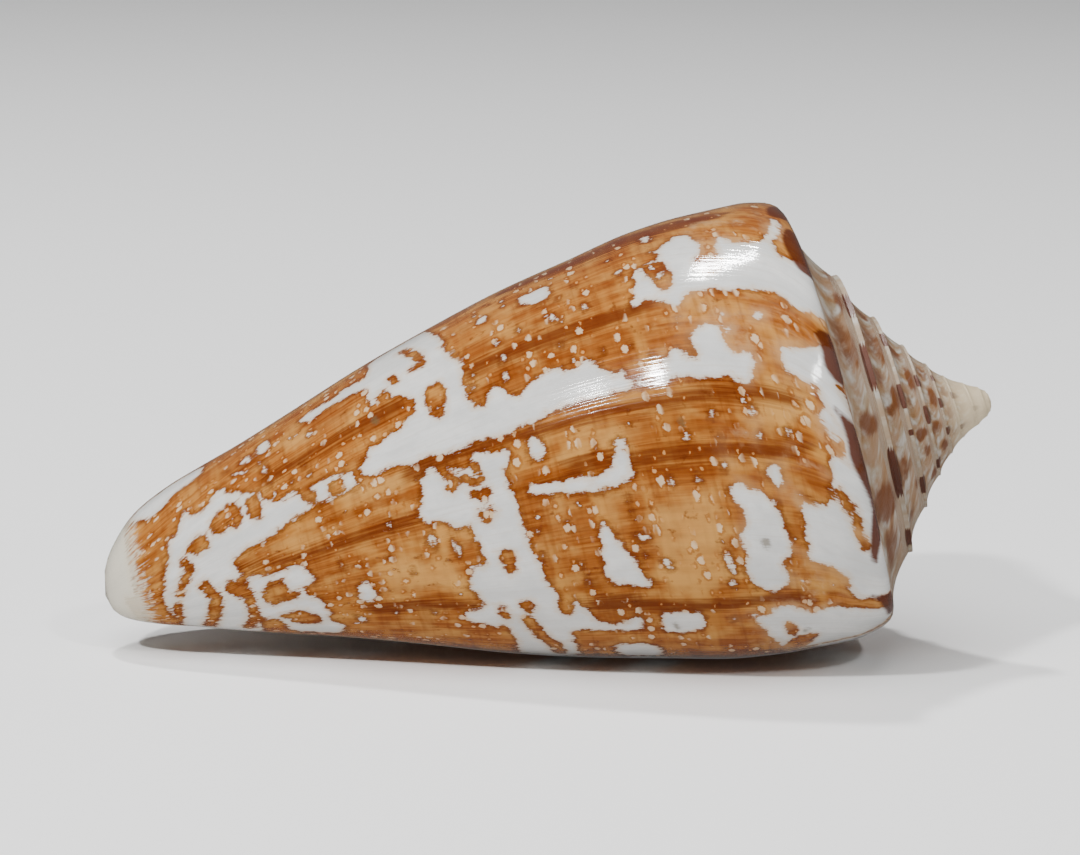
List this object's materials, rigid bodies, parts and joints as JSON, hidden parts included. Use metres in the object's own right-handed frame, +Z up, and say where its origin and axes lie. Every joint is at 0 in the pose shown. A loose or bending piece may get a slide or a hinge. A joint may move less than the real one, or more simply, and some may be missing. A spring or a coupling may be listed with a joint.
{
  "type": "cone shell",
  "caption": "Glossy cone-shaped sea snail shell with a pointed stepped spire, a long narrow aperture and brown and white markings, lying on its aperture side; a display piece",
  "frame": {"origin": "Centre of the box in X and Y, on the surface the shell rests on", "axes": "+X runs along the shell towards the apex, as seen from above; +Z is up as the shell rests on its aperture side; the pictured side faces -Y"},
  "size_m": [0.0604, 0.0336, 0.0309],
  "materials": {
    "shell": null
  },
  "bodies": {
    "root": {"shell": "shell"}
  },
  "joints": []
}
